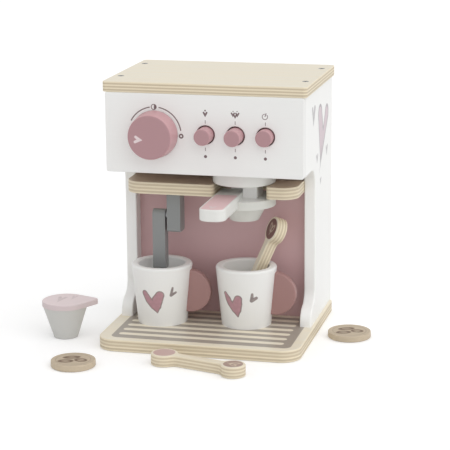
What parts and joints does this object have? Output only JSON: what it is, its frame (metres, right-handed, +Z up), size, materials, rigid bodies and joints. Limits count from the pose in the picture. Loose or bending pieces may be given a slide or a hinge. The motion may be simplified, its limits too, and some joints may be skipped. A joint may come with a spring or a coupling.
{
  "type": "toy coffee machine",
  "caption": "Wooden toy espresso machine with turning knob, push buttons, sliding filter holder and swinging steam wand, with cups, stirrers, creamer and coffee pads.",
  "frame": {"origin": "middle of the underside of the base board, on the surface that the toy stands on", "axes": "+X to the right seen from the front, +Y to the back, +Z up"},
  "size_m": [0.2951, 0.2368, 0.2375],
  "materials": {
    "plywood": "clear satin varnish over birch plywood",
    "solid_wood": "plain sanded beech",
    "plain_board": "plain sanded plywood",
    "white_paint": "satin white paint",
    "pink_paint": "satin dusty pink paint",
    "pale_pink_paint": "satin pale pink paint",
    "light_grey_paint": "satin light grey paint",
    "grey_paint": "satin grey paint",
    "steel": "zinc plated"
  },
  "bodies": {
    "machine": {"base_board": "plywood", "side_panel_left": "white_paint", "side_panel_right": "white_paint", "front_panel": "white_paint", "back_panel": "pink_paint", "rear_cover": "white_paint", "top_board": "plywood", "box_floor": "plain_board", "shelf_board": "plywood", "button_carrier": "plain_board", "wand_hanger": "grey_paint", "wand_pivot_screw": "steel", "wand_washer": "steel", "lid_screws": "steel", "base_screws": "steel", "rear_screws": "steel", "hanger_dowels": "solid_wood", "front_dowels": "solid_wood", "shelf_dowels": "solid_wood", "button_spring_one_cup": "steel", "button_spring_two_cups": "steel", "button_spring_power": "steel"},
    "knob": {"knob": "pink_paint", "knob_axle": "solid_wood", "knob_washer": "plain_board", "knob_screw": "steel"},
    "button_one_cup": {"button_one_cup": "pink_paint", "button_collar_one_cup": "plain_board"},
    "button_two_cups": {"button_two_cups": "pink_paint", "button_collar_two_cups": "plain_board"},
    "button_power": {"button_power": "pink_paint", "button_collar_power": "plain_board"},
    "steam_wand": {"steam_wand": "grey_paint"},
    "filter_holder": {"filter_collar": "white_paint", "filter_neck": "white_paint", "filter_bowl": "white_paint", "filter_handle": "white_paint", "filter_dowel": "solid_wood", "handle_dowels": "solid_wood"},
    "cup_left": {"cup_left": "white_paint", "cup_handle_left": "pink_paint"},
    "cup_right": {"cup_right": "white_paint", "cup_handle_right": "pink_paint"},
    "stirrer_in_cup": {"stirrer_in_cup": "plywood"},
    "stirrer_lying": {"stirrer_lying": "plywood"},
    "creamer": {"creamer_cup": "light_grey_paint", "creamer_lid": "pale_pink_paint", "creamer_dowel": "solid_wood"},
    "coffee_pad_left": {"coffee_pad_left": "solid_wood"},
    "coffee_pad_right": {"coffee_pad_right": "solid_wood"}
  },
  "joints": [
    {"name": "knob_turn", "type": "hinge", "parent": "machine", "child": "knob", "pos_m": [-0.0445, -0.0477, 0.1917], "axis": [0, 1, 0], "continuous": true},
    {"name": "press_one_cup", "type": "slide", "parent": "machine", "child": "button_one_cup", "axis": [0, 1, 0], "range_m": [0, 0.005], "stiffness_N_per_m": 300, "springref_m": -0.002, "deforming": ["button_spring_one_cup"]},
    {"name": "press_two_cups", "type": "slide", "parent": "machine", "child": "button_two_cups", "axis": [0, 1, 0], "range_m": [0, 0.005], "stiffness_N_per_m": 300, "springref_m": -0.002, "deforming": ["button_spring_two_cups"]},
    {"name": "press_power", "type": "slide", "parent": "machine", "child": "button_power", "axis": [0, 1, 0], "range_m": [0, 0.005], "stiffness_N_per_m": 300, "springref_m": -0.002, "deforming": ["button_spring_power"]},
    {"name": "wand_swing", "type": "hinge", "parent": "machine", "child": "steam_wand", "pos_m": [-0.0514, -0.0108, 0.11], "axis": [-1, 0, 0], "range_deg": [-5, 125]},
    {"name": "filter_slide", "type": "slide", "parent": "machine", "child": "filter_holder", "axis": [0, -1, 0], "range_m": [0, 0.075]},
    {"name": "cup_left_lift", "type": "slide", "parent": "machine", "child": "cup_left", "axis": [0, 0, 1], "range_m": [0, 0.026]},
    {"name": "cup_right_draw", "type": "slide", "parent": "machine", "child": "cup_right", "axis": [0, -1, 0], "range_m": [0, 0.06]},
    {"name": "stirrer_draw", "type": "slide", "parent": "cup_right", "child": "stirrer_in_cup", "axis": [0.3855, 0.0999, 0.9173], "range_m": [0, 0.02]},
    {"name": "stirrer_lift", "type": "slide", "parent": "machine", "child": "stirrer_lying", "axis": [0, 0, 1], "range_m": [0, 0.04]},
    {"name": "creamer_lift", "type": "slide", "parent": "machine", "child": "creamer", "axis": [0, 0, 1], "range_m": [0, 0.04]},
    {"name": "pad_left_lift", "type": "slide", "parent": "machine", "child": "coffee_pad_left", "axis": [0, 0, 1], "range_m": [0, 0.04]},
    {"name": "pad_right_lift", "type": "slide", "parent": "machine", "child": "coffee_pad_right", "axis": [0, 0, 1], "range_m": [0, 0.04]}
  ]
}
